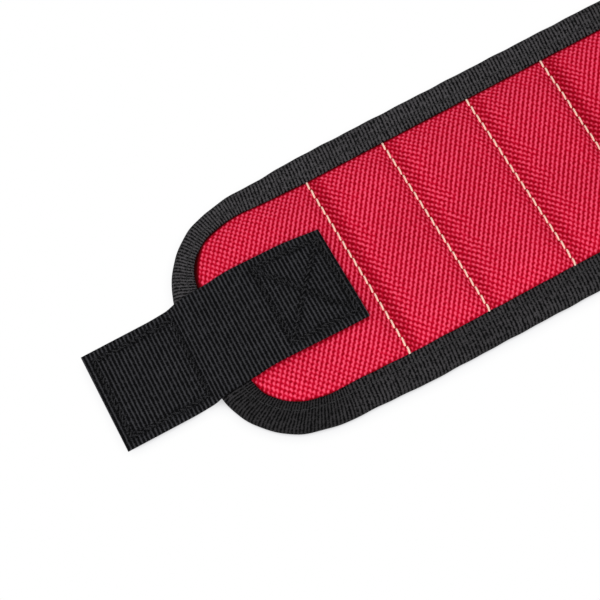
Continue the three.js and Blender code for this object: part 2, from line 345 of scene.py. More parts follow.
# Inset from the outline, found by halving; the corners are quarter ellipses, one inside another
def inset_of(x, y):
    reach_x = CORNER_LENGTH - np.minimum(x, BAND_LENGTH - x)
    reach_y = np.abs(y) - CORNER_Y
    low = np.zeros(np.broadcast(x, y).shape)
    high = np.full(low.shape, CORNER_WIDTH - 0.01)
    for _ in range(HALVINGS):
        middle = (low + high) / 2
        inside = (reach_x / (CORNER_LENGTH - middle)) ** 2 + (reach_y / (CORNER_WIDTH - middle)) ** 2 < 1
        low = np.where(inside, middle, low)
        high = np.where(inside, high, middle)
    straight = np.where(reach_x > 0, CORNER_LENGTH - reach_x, CORNER_WIDTH - reach_y)
    return np.where((reach_x > 0) & (reach_y > 0), low, straight)


def front_at(x, inset):
    crown, fill = padding(x)
    above = STITCH_HEIGHT - MARGIN_FRONT + (crown - STITCH_HEIGHT) * fill
    return MARGIN_FRONT + eased(inset - RIM, RISE, RISE_POWER) * above


# From 0 on the near side of the band to 1 on the far side
def far_side(y):
    return smooth(y, *FAR_RUN)


# The lip of the binding is narrower on the far side and round the two corners of the tab's end
def lip_share(x, y):
    far_corner = (1 - ramp(x, *FAR_CORNER_X)) * ramp(y, *FAR_CORNER_Y)
    near_corner = (1 - ramp(x, *NEAR_CORNER_X)) * ramp(-y, *NEAR_CORNER_Y)
    loss = FAR_LOSS * far_side(y) + FAR_CORNER_LOSS * far_corner + NEAR_CORNER_LOSS * near_corner
    return LIP_SHARE - loss


def lip_edge(x, y):
    return LIP_REACH * lip_share(x, y)


# The cloth swells beside the lip of the binding, then crowns
def swollen(x, y, inset):
    crown, fill = padding(x)
    beyond = inset - lip_edge(x, y)
    swell = LIP_SWELL * smooth(beyond, *SWELL_RUN)
    above = STITCH_HEIGHT - MARGIN_FRONT - LIP_SWELL + (crown - STITCH_HEIGHT) * fill
    return MARGIN_FRONT + swell + eased(beyond, RISE, RISE_POWER) * above


# A ribbon that is sewn on presses the cloth down under it
def pressed(x, y, height, bottom, half_width, x0, x1):
    across = 1 - smooth(np.abs(y), half_width - PRESS_INSIDE, half_width + PRESS_OUTSIDE)
    starts = smooth(x, x0 - PRESS_OUTSIDE, x0 + PRESS_INSIDE)
    ends = 1 - smooth(x, x1 - PRESS_INSIDE, x1 + PRESS_OUTSIDE)
    return height - across * starts * ends * np.maximum(height - bottom(x) + PRESS_GAP, 0)


# The stitches' holes lie lowest, and the cloth rises between them
def hole_dips(y):
    return PUCKER * np.cos(2 * math.pi * y / QUILT_STITCH.pitch)


def free_share(inset):
    return smooth(inset, RIM, RIM + FREE_RUN)


def cloth_height(x, y):
    inset = inset_of(x, y)
    away = np.min([np.abs(x - line) for line in STITCH_LINES], axis=0)
    pucker = -bell(away, PUCKER_WIDTH) * hole_dips(y)
    pulls = PULL * bell(away, PULL_WIDTH) * np.sin(y / 2.3 + 1.7 * np.sin(y / 5.1))
    slack = SLACK * np.sin(0.19 * x + 0.07 * y + 0.6) * np.sin(0.23 * y - 0.05 * x + 1.1)
    height = swollen(x, y, inset) + free_share(inset) * (pucker + pulls + slack - SINK)
    height = pressed(x, y, height, strap_bottom, HALF_STRAP, STRAP_TIP, STRAP_END)
    return pressed(x, y, height, strip_bottom, HALF_LOOP, STRIP_START, STRIP_END)


# Distances over the cloth along and across the band, so that the weave keeps its scale on the slopes
def cloth_runs():
    x = np.arange(0, BAND_LENGTH + RUN_STEP, RUN_STEP)
    along = front_at(x, np.minimum(np.minimum(x, BAND_LENGTH - x), HALF_WIDTH))
    y = np.arange(-HALF_WIDTH, HALF_WIDTH + RUN_STEP, RUN_STEP)
    mid_column = (STITCH_LINES[1] + STITCH_LINES[2]) / 2
    across = front_at(np.full_like(y, mid_column), HALF_WIDTH - np.abs(y))
    return (x, run_along(np.stack([x, along], -1))), (y, run_along(np.stack([y, across], -1)))


RUN_X, RUN_Y = cloth_runs()


# The padded end leans a little, and has a slight waist
def place(points):
    moved = np.array(points, float)
    x = moved[..., 0]
    y = moved[..., 1]
    lean = END_LEAN * (1 - smooth(x, *LEAN_RUN))
    narrow = smooth(x, *WAIST_START) * (1 - smooth(x, *WAIST_END)) * smooth(np.abs(y), *WAIST_SIDE)
    moved[..., 0] = x + lean * y - BAND_CENTRE
    moved[..., 1] = y * (1 - END_WAIST * narrow)
    return moved * MM


# Meshes and pieces
def build(name, points, faces, uv, material, values=None):
    mesh = bpy.data.meshes.new(name)
    mesh.from_pydata(place(points).tolist(), [], [list(map(int, face)) for face in faces])
    layer = mesh.uv_layers.new(name="cloth")
    layer.data.foreach_set("uv", np.asarray(uv, np.float32).ravel())
    for key, numbers in (values or {}).items():
        attribute = mesh.attributes.new(key, "FLOAT", "POINT")
        attribute.data.foreach_set("value", np.asarray(numbers, np.float32))
    work = bmesh.new()
    work.from_mesh(mesh)
    bmesh.ops.recalc_face_normals(work, faces=work.faces)
    work.to_mesh(mesh)
    work.free()
    mesh.polygons.foreach_set("use_smooth", [True] * len(mesh.polygons))
    mesh.set_sharp_from_angle(angle=SHARP_ANGLE)
    mesh.materials.append(material)
    piece = bpy.data.objects.new(name, mesh)
    bpy.context.collection.objects.link(piece)
    return piece


def corner_uv(faces, point_uv):
    return np.concatenate([point_uv[np.asarray(face, int)] for face in faces])


# A closed layer between two grids of points
def slab(name, top, bottom, uv, material, values=None):
    rows, columns = top.shape[:2]
    count = rows * columns
    at = np.arange(count).reshape(rows, columns)
    quads = np.stack([at[:-1, :-1], at[1:, :-1], at[1:, 1:], at[:-1, 1:]], -1).reshape(-1, 4)
    rim = np.concatenate([at[:, 0], at[-1, 1:], at[-2::-1, -1], at[0, -2:0:-1]])
    after = np.roll(rim, -1)
    walls = np.stack([rim, rim + count, after + count, after], -1)
    faces = [*quads, *(quads[:, ::-1] + count), *walls]
    points = np.concatenate([top.reshape(-1, 3), bottom.reshape(-1, 3)])
    point_uv = np.tile(uv.reshape(-1, 2), (2, 1))
    doubled = {key: np.tile(np.ravel(numbers), 2) for key, numbers in (values or {}).items()}
    return build(name, points, faces, corner_uv(faces, point_uv), material, doubled)


# Corners of a closed tube's faces as ring and step, where the step after the last is the first again
def tube_corners(rings, steps):
    sides = []
    for i in range(rings - 1):
        for k in range(steps):
            sides.append([(i, k), (i, k + 1), (i + 1, k + 1), (i + 1, k)])
    ends = [[(i, k) for k in range(steps)] for i in (0, rings - 1)]
    return sides + ends


def tube_faces(corners, steps, base=0):
    return [[base + i * steps + k % steps for i, k in face] for face in corners]


def tube_points(centre, side, up, radius, steps):
    angle = np.linspace(0, 2 * math.pi, steps, endpoint=False)[None, :, None]
    ring = side[:, None, :] * np.cos(angle) + up[:, None, :] * np.sin(angle)
    return (centre[:, None, :] + radius[:, None, None] * ring).reshape(-1, 3)


# A closed tube through rings of points, whose texture may run ahead or behind on each line along it
def swept(name, rings, along, around, material, skew, values):
    count, steps = rings.shape[:2]
    corners = tube_corners(count, steps)
    uv = [(along[i] - skew[k % steps], around[k]) for face in corners for i, k in face]
    return build(name, rings.reshape(-1, 3), tube_faces(corners, steps), uv, material, values)


def bend(piece, span):
    start, end = place([[span.hinge - span.reach, 0, HINGE], [span.hinge + span.reach, 0, HINGE]])
    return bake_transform(piece)


def bend_tab(piece):
    start, end = place([[TAB_HINGE_X - TAB_REACH, 0, HINGE], [TAB_HINGE_X + TAB_REACH, 0, HINGE]])
    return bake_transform(piece)


# Each span stands for the stretch at its right, and the first one for the end as well
def covered(prefix, span):
    first = [span.left] if span.number == 1 else []
    return [f"{prefix}_{stretch}" for stretch in [*first, span.right]]


# Node materials
def srgb(red, green, blue):
    def linear(value):
        value /= 255
        return value / 12.92 if value <= 0.04045 else ((value + 0.055) / 1.055) ** 2.4
    return (linear(red), linear(green), linear(blue), 1.0)


class Look:
    def __init__(self, owner):
        self.owner = bpy.data.materials.new(owner) if isinstance(owner, str) else owner
        self.owner.use_nodes = True
        self.tree = self.owner.node_tree
        self.tree.nodes.clear()

    def node(self, kind, inputs=None, **settings):
        made = self.tree.nodes.new(kind)
        for key, value in settings.items():
            setattr(made, key, value)
        for key, value in (inputs or {}).items():
            if isinstance(value, bpy.types.NodeSocket):
                self.tree.links.new(value, made.inputs[key])
            else:
                made.inputs[key].default_value = value
        return made

    def math(self, operation, *values):
        return self.node("ShaderNodeMath", dict(enumerate(values)), operation=operation).outputs[0]

    def total(self, first, *others):
        for other in others:
            first = self.math("ADD", first, other)
        return first

    def uv(self):
        where = self.node("ShaderNodeUVMap", uv_map="cloth").outputs[0]
        split = self.node("ShaderNodeSeparateXYZ", {0: where})
        return where, split.outputs[0], split.outputs[1]

    def value_of(self, name):
        return self.node("ShaderNodeAttribute", attribute_name=name).outputs["Fac"]

    def turns(self, run, per_mm, start):
        return self.math("MULTIPLY_ADD", run, 2 * math.pi * per_mm, start)

    def noise(self, where, scale, detail=2.0):
        inputs = {"Vector": where, "Scale": scale, "Detail": detail}
        return self.node("ShaderNodeTexNoise", inputs).outputs[0]

    def span(self, value, low, high, to_low, to_high):
        inputs = {0: value, 1: low, 2: high, 3: to_low, 4: to_high}
        return self.node("ShaderNodeMapRange", inputs).outputs[0]

    def grain(self, where, scale, spread, detail=2.0, low=0.25):
        return self.span(self.noise(where, scale, detail), low, 1 - low, -spread, spread)

    def ramp(self, factor, *stops):
        made = self.node("ShaderNodeValToRGB", {0: factor})
        elements = made.color_ramp.elements
        while len(elements) < len(stops):
            elements.new(0.5)
        for element, (position, colour) in zip(elements, stops):
            element.position = position
            element.color = colour
        return made.outputs[0]

    def dim(self, colour, value):
        return self.node("ShaderNodeHueSaturation", {"Color": colour, "Value": value}).outputs[0]

    def cover(self, colour, height, depth, roughness, specular=0.5, sheen=0.0, metallic=0.0):
        bump = self.node("ShaderNodeBump", {"Height": height, "Strength": 1.0, "Distance": depth * MM})
        inputs = {"Base Color": colour, "Normal": bump.outputs[0], "Roughness": roughness}
        inputs |= {"Specular IOR Level": specular, "Sheen Weight": sheen, "Metallic": metallic}
        shader = self.node("ShaderNodeBsdfPrincipled", inputs)
        self.node("ShaderNodeOutputMaterial", {0: shader.outputs[0]})
        return self.owner


# Red plain weave with painted highlights on its floats and painted shade in its gaps, whose lit floats line
# up along one diagonal or the other
def red_cloth():
    look = Look("red_cloth")
    where, u, v = look.uv()
    drift = look.grain(where, scale=0.22, spread=0.6, low=0.0)
    warp = look.turns(u, WARP_PAIRS, look.turns(v, WARP_STRAY, drift))
    weft = look.turns(v, WEFT_PAIRS, look.turns(u, WEFT_STRAY, drift))
    # Painted highlight pattern: share of the lit floats on the rising diagonal, set by place on the band
    share = look.value_of("rising")
    rising = look.math("COSINE", look.math("SUBTRACT", warp, weft))
    falling = look.math("COSINE", look.math("ADD", warp, weft))
    others = look.math("MULTIPLY", falling, look.math("SUBTRACT", 1.0, share))
    floats = look.math("MULTIPLY_ADD", rising, share, others)
    holes = look.math("COSINE", look.math("MULTIPLY_ADD", weft, 2.0, -1.85))
    ridges = look.math("COSINE", look.math("MULTIPLY", warp, 2.0))
    gaps = look.math("MULTIPLY_ADD", holes, 0.2, look.math("MULTIPLY", ridges, 0.17))
    fibre = look.grain(where, scale=3.2, spread=0.24, detail=4.0)
    slub = look.grain(where, scale=0.9, spread=0.5)
    height = look.math("MULTIPLY_ADD", floats, 0.92, look.total(gaps, fibre, slub))
    level = look.span(height, -1, 1, 0, 1)
    # Painted shade from the cloth's attribute lowers the weave's level and dims its colour
    depth = look.value_of("painted_shade")
    shaded_level = look.math("SUBTRACT", level, depth)
    # Painted shade in the weave's gaps, the cloth's own red, and painted highlights on the floats
    shaded_gap = srgb(152, 0, 18)
    middle = srgb(202, 8, 45)
    float_highlight = srgb(246, 82, 112)
    colour = look.ramp(shaded_level, (0.02, shaded_gap), (0.45, middle), (0.86, float_highlight))
    cloud = look.span(look.noise(where, 0.05, 3.0), 0.3, 0.7, 0.96, 1.04)
    shade = look.math("MULTIPLY", cloud, look.math("SUBTRACT", 1.0, depth))
    return look.cover(look.dim(colour, shade), level, depth=0.2, roughness=0.8, specular=0.04)


# Tape or webbing with ribs across it
def ribbed(name, pitch, yarn, depth, sharp, fuzz, dark, light):
    look = Look(name)
    where, u, v = look.uv()
    drift = look.grain(where, scale=0.4, spread=0.35, low=0.0)
    turn = look.turns(u, 1 / pitch, drift)
    rib = look.math("POWER", look.span(look.math("COSINE", turn), -1, 1, 0, 1), sharp)
    float_turn = look.turns(v, 1 / yarn, look.math("MULTIPLY", turn, 0.5))
    floats = look.span(look.math("COSINE", float_turn), -1, 1, -0.08, 0.08)
    fibre = look.grain(where, scale=1.6, spread=fuzz, detail=4.0)
    blotch = look.grain(where, scale=0.6, spread=fuzz / 2, low=0.3)
    sewn = look.value_of("sewn")
    broken = look.math("MULTIPLY", rib, look.math("MULTIPLY_ADD", sewn, -0.65, 1.0))
    rough = look.math("MULTIPLY", fibre, look.math("MULTIPLY_ADD", sewn, 1.2, 1.0))
    level = look.total(broken, blotch, floats, rough)
    colour = look.ramp(level, (0.1, dark), (0.95, light))
    cloud = look.span(look.noise(where, 0.09), 0.3, 0.7, 0.9, 1.1)
    # The tape's attribute holds its deeper tone and its painted shade, which dim the colour
    tone = look.math("MULTIPLY", cloud, look.math("SUBTRACT", 1.0, look.value_of("tone_and_painted_shade")))
    return look.cover(look.dim(colour, tone), level, depth, roughness=0.75, specular=0.05)


# Twisted sewing thread
def thread(name, dark, light):
    look = Look(name)
    where, u, v = look.uv()
    twist = look.math("SINE", look.turns(u, 1.6, look.turns(v, 1.0, 0.0)))
    fibre = look.span(look.noise(where, 5.0), 0.3, 0.7, -0.1, 0.2)
    level = look.math("ADD", look.span(twist, -1, 1, 0.1, 0.8), fibre)
    colour = look.ramp(level, (0.0, dark), (1.0, light))
    return look.cover(colour, level, depth=0.08, roughness=0.5, specular=0.1)


# Air mesh with a hexagonal net of holes
def air_mesh(pitch):
    look = Look("air_mesh")
    where, u, v = look.uv()
    turn = 2 * math.pi / pitch
    along = look.math("MULTIPLY", u, turn / 2)
    slant = look.math("MULTIPLY", v, turn * math.sqrt(3) / 2)
    first = look.math("COSINE", look.math("MULTIPLY", u, turn))
    second = look.math("COSINE", look.math("ADD", along, slant))
    third = look.math("COSINE", look.math("SUBTRACT", along, slant))
    knit = look.grain(where, scale=4.0, spread=0.5, detail=3.0)
    level = look.span(look.total(first, second, third, knit), -1.5, 2.2, 1.0, 0.0)
    colour = look.ramp(level, (0.05, srgb(8, 8, 9)), (0.45, srgb(38, 38, 40)), (0.95, srgb(68, 68, 71)))
    return look.cover(colour, level, depth=0.5, roughness=0.85, specular=0.2, sheen=0.2)


# Brushed loop pile, flat where it is sewn
def loop_pile():
    look = Look("loop_pile")
    where = look.uv()[0]
    loops = look.node("ShaderNodeTexVoronoi", {"Vector": where, "Scale": 0.75}).outputs[0]
    tufts = look.grain(where, scale=0.35, spread=0.25, detail=5.0, low=0.3)
    fibre = look.grain(where, scale=2.2, spread=0.2, detail=4.0)
    pile = look.total(look.math("SUBTRACT", 0.95, loops), tufts, fibre)
    level = look.math("MULTIPLY", pile, look.math("MULTIPLY_ADD", look.value_of("sewn"), -0.6, 1.0))
    colour = look.ramp(level, (0.1, srgb(6, 6, 7)), (0.95, srgb(62, 62, 65)))
    return look.cover(colour, level, depth=0.7, roughness=0.9, specular=0.05, sheen=0.12)


# Moulded hook tape with ridges along it
def hook_plastic():
    look = Look("hook_plastic")
    where, _, v = look.uv()
    ridges = look.math("COSINE", look.turns(v, 1 / 1.6, 0.0))
    grain = look.noise(where, 3.0, 4.0)
    level = look.math("MULTIPLY_ADD", grain, 0.6, look.span(ridges, -1, 1, 0, 0.4))
    colour = look.ramp(level, (0.1, srgb(14, 14, 15)), (0.9, srgb(38, 38, 40)))
    return look.cover(colour, level, depth=0.1, roughness=0.45, specular=0.4)


# Plated magnets, with fine lines along the rolled face
def plated_steel():
    look = Look("plated_steel")
    where = look.node("ShaderNodeTexCoord").outputs["Object"]
    inputs = {"Vector": where, "Scale": (300.0, 9000.0, 9000.0)}
    lines = look.noise(look.node("ShaderNodeMapping", inputs).outputs[0], 1.0, 4.0)
    colour = look.ramp(lines, (0.3, srgb(132, 134, 138)), (0.7, srgb(178, 180, 184)))
    return look.cover(colour, lines, depth=0.01, roughness=0.35, metallic=1.0)


RED = red_cloth()
BINDING = ribbed("binding_tape", pitch=1.225, yarn=0.62, depth=0.1, sharp=1.0, fuzz=0.72,
                 dark=srgb(3, 3, 4), light=srgb(78, 76, 78))
WEBBING = ribbed("webbing", pitch=1.345, yarn=0.67, depth=0.16, sharp=2.0, fuzz=0.4,
                 dark=srgb(2, 2, 3), light=srgb(57, 57, 60))
GOLD = thread("gold_thread", srgb(255, 196, 169), srgb(255, 229, 215))
BLACK = thread("black_thread", srgb(4, 4, 5), srgb(52, 52, 54))
SEAM = thread("seam_thread", srgb(20, 20, 21), srgb(62, 62, 63))
MESH = air_mesh(pitch=2.4)
PILE = loop_pile()
HOOKS = hook_plastic()
STEEL = plated_steel()


# Places along the band for rows of points, closer together beside the stitch rows
def stations(x0, x1, step):
    plain = np.linspace(x0, x1, max(2, round((x1 - x0) / step) + 1))
    shifts = [0.0, *BESIDE_STITCHES, *(-shift for shift in BESIDE_STITCHES)]
    close = [line + shift for line in STITCH_LINES for shift in shifts if x0 < line + shift < x1]
    kept = [x for x in plain if x in (x0, x1) or all(abs(other - x) > LEAST_STEP for other in close)]
    return np.unique([*kept, *close])


def half_width_at(x, inset):
    reach = np.maximum(CORNER_LENGTH - np.minimum(x, BAND_LENGTH - x), 0)
    share = np.clip(reach / (CORNER_LENGTH - inset), 0, 1)
    return CORNER_Y + (CORNER_WIDTH - inset) * np.sqrt(1 - share**2)


def layer_grid(span, columns, step):
    x0 = max(span.x0, TUCK)
    x1 = min(span.x1, BAND_LENGTH - TUCK)
    xs = stations(x0, x1, step)
    across = np.sin(np.linspace(-1, 1, columns) * SIDE_CROWDING) / math.sin(SIDE_CROWDING)
    x = np.repeat(xs[:, None], columns, 1)
    y = half_width_at(xs, TUCK)[:, None] * across[None, :]
    return x, y


# Painted highlight pattern: share of the lit floats that line up on the rising diagonal, standing in for
# how light falls on the slopes: few beside a row of stitches, most in mid-column
def lit_diagonal_share(x, y):
    wander = 0.05 * np.sin(0.5 * y + 1.3 * np.sin(0.21 * y)) + 0.04 * np.sin(0.8 * x + 0.6 * y)
    t = column_share(x) + wander
    after_row = 1 - smooth(t, *AFTER_ROW_RUN)
    before_row = smooth(t, *BEFORE_ROW_RUN)
    in_column = COLUMN_LIT_FLOATS - AFTER_ROW_LOSS * after_row - BEFORE_ROW_LOSS * before_row
    in_end = END_LIT_FLOATS + END_GAIN * smooth(x + 20 * wander, *END_GAIN_RUN)
    outer = np.where(x <= END_ZONE, in_end, LOOP_LIT_FLOATS)
    share = np.where((x > END_ZONE) & (x < LAST_STITCH), in_column, outer)
    edge = 1 - smooth(inset_of(x, y), RIM, RIM + EDGE_LIT_FLOATS_RUN)
    return share + edge * (EDGE_LIT_FLOATS - share) * EDGE_LIT_FLOATS_SHARE


# Painted shade in the hollows under the lip and beside the stitches, a slight darkening along the band's
# middle, and painted shadow beside the strap
def painted_shade(x, y):
    far = far_side(y)
    beyond = inset_of(x, y) - lip_edge(x, y)
    dark = (LIP_SHADE + LIP_FAR_SHADE * far) * (1 - smooth(beyond, 0.0, LIP_SHADE_RUN + LIP_FAR_RUN * far))
    for line, tone in zip(STITCH_LINES, AFTER_ROW_SHADES):
        before = BEFORE_ROW_SHADE * bell(x - line, BEFORE_ROW_WIDTH)
        after = tone * bell(np.maximum(x - line, 0), AFTER_ROW_WIDTH, AFTER_ROW_POWER)
        dark = np.maximum(dark, np.where(x < line, before, after))
    middle = MIDDLE_TONE * bell(y, MIDDLE_WIDTH) * smooth(x, END_ZONE, END_ZONE + MIDDLE_RUN)
    return np.maximum(np.maximum(dark, middle), strap_shadow(x, y))


# Painted shadow of the strap on the cloth beside its near edge, darkest where they touch
def strap_shadow(x, y):
    beside = strap_lie(x, -HALF_STRAP) - y
    contact = CONTACT_SHADOW * (1 - smooth(beside, *CONTACT_RUN))
    soft = SHADOW_TONE * (1 - smooth(beside, *SHADOW_RUN))
    along = 1 - smooth(x, STRAP_END - 0.5, STRAP_END + 1.0)
    return (contact + soft) * (y < 0) * along


# Quilted front, one closed padded form in each span
def front_piece(span):
    x, y = layer_grid(span, CLOTH_COLUMNS, CLOTH_STEP)
    top = np.stack([x, y, cloth_height(x, y)], -1)
    bottom = np.stack([x, y, np.full_like(x, CORE_FLOOR)], -1)
    uv = np.stack([np.interp(x, *RUN_X), np.interp(y, *RUN_Y)], -1)
    # Attributes for the cloth's colour: the painted highlight pattern of its floats and its painted shade
    values = {"rising": lit_diagonal_share(x, y), "painted_shade": painted_shade(x, y)}
    piece = slab(f"cloth_{span.number}", top, bottom, uv, RED, values)
    bend(piece, span)
    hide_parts(*covered("front", span), *covered("foam", span))


# Back lining
def lining_piece(span):
    x, y = layer_grid(span, LINING_COLUMNS, LINING_STEP)
    low = LINING_MARGIN * (1 - np.clip((inset_of(x, y) - RIM) / LINING_RUN, 0, 1))
    top = np.stack([x, y, low + LINING], -1)
    bottom = np.stack([x, y, low], -1)
    piece = slab(f"back_{span.number}", top, bottom, np.stack([x, y], -1), MESH)
    bend(piece, span)
    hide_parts(*covered("lining", span))


# Section of the binding as inset and height: a tape folded over the edge, pulled in at its stitches
def tape_section():
    middle = EDGE_HEIGHT / 2
    turn = np.radians(np.arange(-90, 91, 15))
    roll = [(EDGE_ROLL * (1 - math.cos(a) ** EDGE_FULLNESS), middle + middle * math.sin(a)) for a in turn]
    under = [(LIP_REACH, 0.25), (10.5, 0.03), (9.0, 0.0), (8.2, 0.02), (LIP_STITCH, 0.07), (6.6, 0.02),
             (5.0, 0.0)]
    drops = [(4.6, -0.06), (5.8, 0.0), (6.6, 0.08), (LIP_STITCH, 0.13), (8.2, 0.12), (9.0, 0.1),
             (10.0, 0.16), (10.6, 0.3), (LIP_REACH, 0.5),
             (LIP_REACH, 0.85), (9.0, 0.8), (LIP_STITCH, 0.9), (4.4, 0.7), (2.0, 1.1), (1.0, 1.9)]
    over = [(inset, EDGE_HEIGHT - drop) for inset, drop in drops]
    inside = [(1.0, 1.9), (2.0, 1.1), (4.4, 0.7), (LIP_STITCH, 0.82), (9.0, 0.7), (LIP_REACH, 0.66)]
    return np.array([*under, *roll, *over, *inside])


SECTION = tape_section()
INSETS = SECTION[:, 0]
OUTERMOST = int(np.argmin(INSETS))
AT_STITCH = int(np.argmin(np.abs(INSETS - LIP_STITCH)))


# Lines round a rounded end, one for each inset, from the far side to the near side
def end_lines(cut, insets):
    turn = np.linspace(0, math.pi / 2, CORNER_STEPS, endpoint=False)
    steps = max(2, round((cut - CORNER_LENGTH) / TAPE_STEP))
    straight = np.linspace(cut, CORNER_LENGTH, steps, endpoint=False)
    middle = np.linspace(CORNER_Y, -CORNER_Y, END_STEPS, endpoint=False)
    lines = []
    for inset in insets:
        length = CORNER_LENGTH - inset
        width = CORNER_WIDTH - inset
        side = np.full_like(straight, HALF_WIDTH - inset)
        far_x = CORNER_LENGTH - length * np.sin(turn)
        far_y = CORNER_Y + width * np.cos(turn)
        end_x = np.full_like(middle, inset)
        near_x = CORNER_LENGTH - length * np.cos(turn)
        near_y = -CORNER_Y - width * np.sin(turn)
        x = np.concatenate([straight, far_x, end_x, near_x, [CORNER_LENGTH], straight[::-1]])
        y = np.concatenate([side, far_y, middle, near_y, [inset - HALF_WIDTH], -side])
        lines.append(np.stack([x, y], -1))
    return np.stack(lines, 1)


# Lines along the binding at the section's insets, by the name of the stretch of tape
def binding_lines(span):
    if span.number == 1:
        return {"": end_lines(span.x1, INSETS)}
    if span.number == len(SPANS):
        lines = end_lines(BAND_LENGTH - span.x0, INSETS)
        return {"": np.array([BAND_LENGTH, 0]) - lines}
    xs = stations(span.x0, span.x1, TAPE_STEP)
    lines = {}
    for name, side in (("_near", -1), ("_far", 1)):
        y = side * (HALF_WIDTH - INSETS)
        lines[name] = np.stack(np.broadcast_arrays(xs[:, None], y[None, :]), -1)
    return lines


# The bound edge is not quite even
def wave(line):
    x = line[:, 0]
    y = line[:, 1]
    return TAPE_WAVE * (np.sin(0.68 * x + 0.31 * y) + np.sin(0.39 * x - 0.52 * y + 1.2))


# Painted shade on the tape, darkest on the near side and most of all round the corner beside the strap,
# over a slightly deeper tone all over
def tape_tone_and_shade(x, y):
    near = 1 - smooth(y, *TAPE_NEAR_RUN)
    corner = (1 - smooth(x, *TAPE_CORNER_X)) * (1 - smooth(y, *TAPE_CORNER_Y))
    return TAPE_TONE + TAPE_NEAR_SHADE * near + TAPE_CORNER_SHADE * corner


def covered_binding(span, name):
    if name:
        return [f"binding_{span.right}{name}"]
    if span.number == 1:
        return ["binding_end_a", "binding_end_b_near", "binding_end_b_far"]
    return ["binding_loop_3"]


def binding_piece(span):
    for name, lines in binding_lines(span).items():
        outer = lines[:, OUTERMOST]
        share = lip_share(outer[:, 0], outer[:, 1])[:, None, None]
        plan = outer[:, None, :] * (1 - share) + lines * share
        plan = plan + wave(outer)[:, None, None] * (lines[:, -1:] - outer[:, None]) / LIP_REACH
        height = np.broadcast_to(SECTION[None, :, 1:], (*plan.shape[:2], 1))
        rings = np.concatenate([plan, height], -1)
        along = run_along(outer) + (outer[0, 0] if name else 0)
        skew = TAPE_SKEW * (-1 if name == "_far" else 1) * INSETS
        # Deeper tone and painted shade along the tape
        tone_and_painted_shade = tape_tone_and_shade(plan[:, :, 0], plan[:, :, 1]).ravel()
        label = f"{span.number}{name}"
        piece = swept(f"tape_{label}", rings, along, run_around(SECTION), BINDING, skew, {"tone_and_painted_shade": tone_and_painted_shade})
        bend(piece, span)
        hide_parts(*covered_binding(span, name))
        binding_seams(span, label, plan[:, AT_STITCH])


def binding_seams(span, label, line):
    for side, z, up in (("top", SEAM_TOP, 1), ("under", SEAM_UNDER, -1)):
        path = np.concatenate([line, np.full((len(line), 1), z)], 1)
        normals = np.tile((0.0, 0.0, up), (len(line), 1))
        seam = stitches(f"seam_{side}_{label}", [(path, normals)], SEAM_STITCH, SEAM)
        bend(seam, span)


# Rows of stitches: short rounded lengths of thread that rise between their holes
def stitches(name, rows, stitch, material):
    share, lift, swell = STITCH_SHAPE.T
    aslant = stitch.slant * (2 * share - 1)
    corners = tube_corners(len(share), THREAD_SIDES)
    points = []
    faces = []
    uv = []
    for path, normals in rows:
        run = run_along(path)
        count = max(1, round(run[-1] / stitch.pitch))
        for k in range(count):
            at = (k + share) * run[-1] / count
            centre = np.stack([np.interp(at, run, path[:, i]) for i in range(3)], -1)
            up = np.stack([np.interp(at, run, normals[:, i]) for i in range(3)], -1)
            side = np.cross(np.gradient(centre, axis=0), up)
            side /= np.linalg.norm(side, axis=1)[:, None]
            centre = centre + up * (lift * stitch.radius)[:, None] + side * aslant[:, None]
            faces += tube_faces(corners, THREAD_SIDES, len(points) * STITCH_SHAPE.shape[0] * THREAD_SIDES)
            points.append(tube_points(centre, side, up, swell * stitch.radius, THREAD_SIDES))
            uv += [(at[i], j / THREAD_SIDES) for face in corners for i, j in face]
    return build(name, np.concatenate(points), faces, uv, material)


def quilt_row(span):
    y = np.linspace(-HALF_QUILT, HALF_QUILT, QUILT_POINTS)
    x = np.full_like(y, span.hinge)
    level = cloth_height(x, y) + hole_dips(y) * free_share(inset_of(x, y))
    path = np.stack([x, y, level + QUILT_LIFT], -1)
    upward = np.tile((0.0, 0.0, 1.0), (len(y), 1))
    row = stitches(f"quilting_{span.number}", [(path, upward)], QUILT_STITCH, GOLD)
    bend(row, span)


# Underside of the strap: low over its hook patch, up over the bound edge, then on the padded front
def strap_bottom(x):
    low = HOOK + GAP
    on_edge = EDGE_HEIGHT + GAP
    climb = LEAD_SHARE * smooth(x, -STRAP_LEAD, ROLL) + (1 - LEAD_SHARE) * smooth(x, -STRAP_RISE, ROLL)
    step = low + (on_edge - low) * climb
    laid = np.maximum(on_edge, front_at(x, np.minimum(x, HALF_WIDTH - HALF_STRAP)) + GAP)
    return np.where(x < ROLL, step, laid)


def strip_bottom(x):
    return front_at(x, np.minimum(HALF_WIDTH - HALF_LOOP, BAND_LENGTH - x)) + GAP


# The strap lies slightly askew on the padded end, and its far edge is drawn in where the end is sewn down
def strap_lie(x, y):
    askew = ASKEW * (smooth(x, *ASKEW_START) - smooth(x, *ASKEW_END)) - STRAP_SHIFT
    drawn = DRAWN_IN * smooth(x, *DRAWN_RUN) * (1 + y / HALF_STRAP)
    return y + askew - drawn


def straight_lie(x, y):
    return y


# Boxes of stitches, each row from one corner to another
def box_corners(x0, x1):
    return [(x0, -HALF_BOX), (x1, -HALF_BOX), (x1, HALF_BOX), (x0, HALF_BOX)]


def box_rows(box):
    return list(zip(box, box[1:] + box[:1]))


ANCHOR_BOX = box_corners(BOX_START, BOX_END)
ANCHOR_ROWS = box_rows(ANCHOR_BOX) + [(ANCHOR_BOX[0], ANCHOR_BOX[2]), (ANCHOR_BOX[1], ANCHOR_BOX[3])]
TAB_ROWS = box_rows(box_corners(HOOK_ROW_START, HOOK_ROW_END))


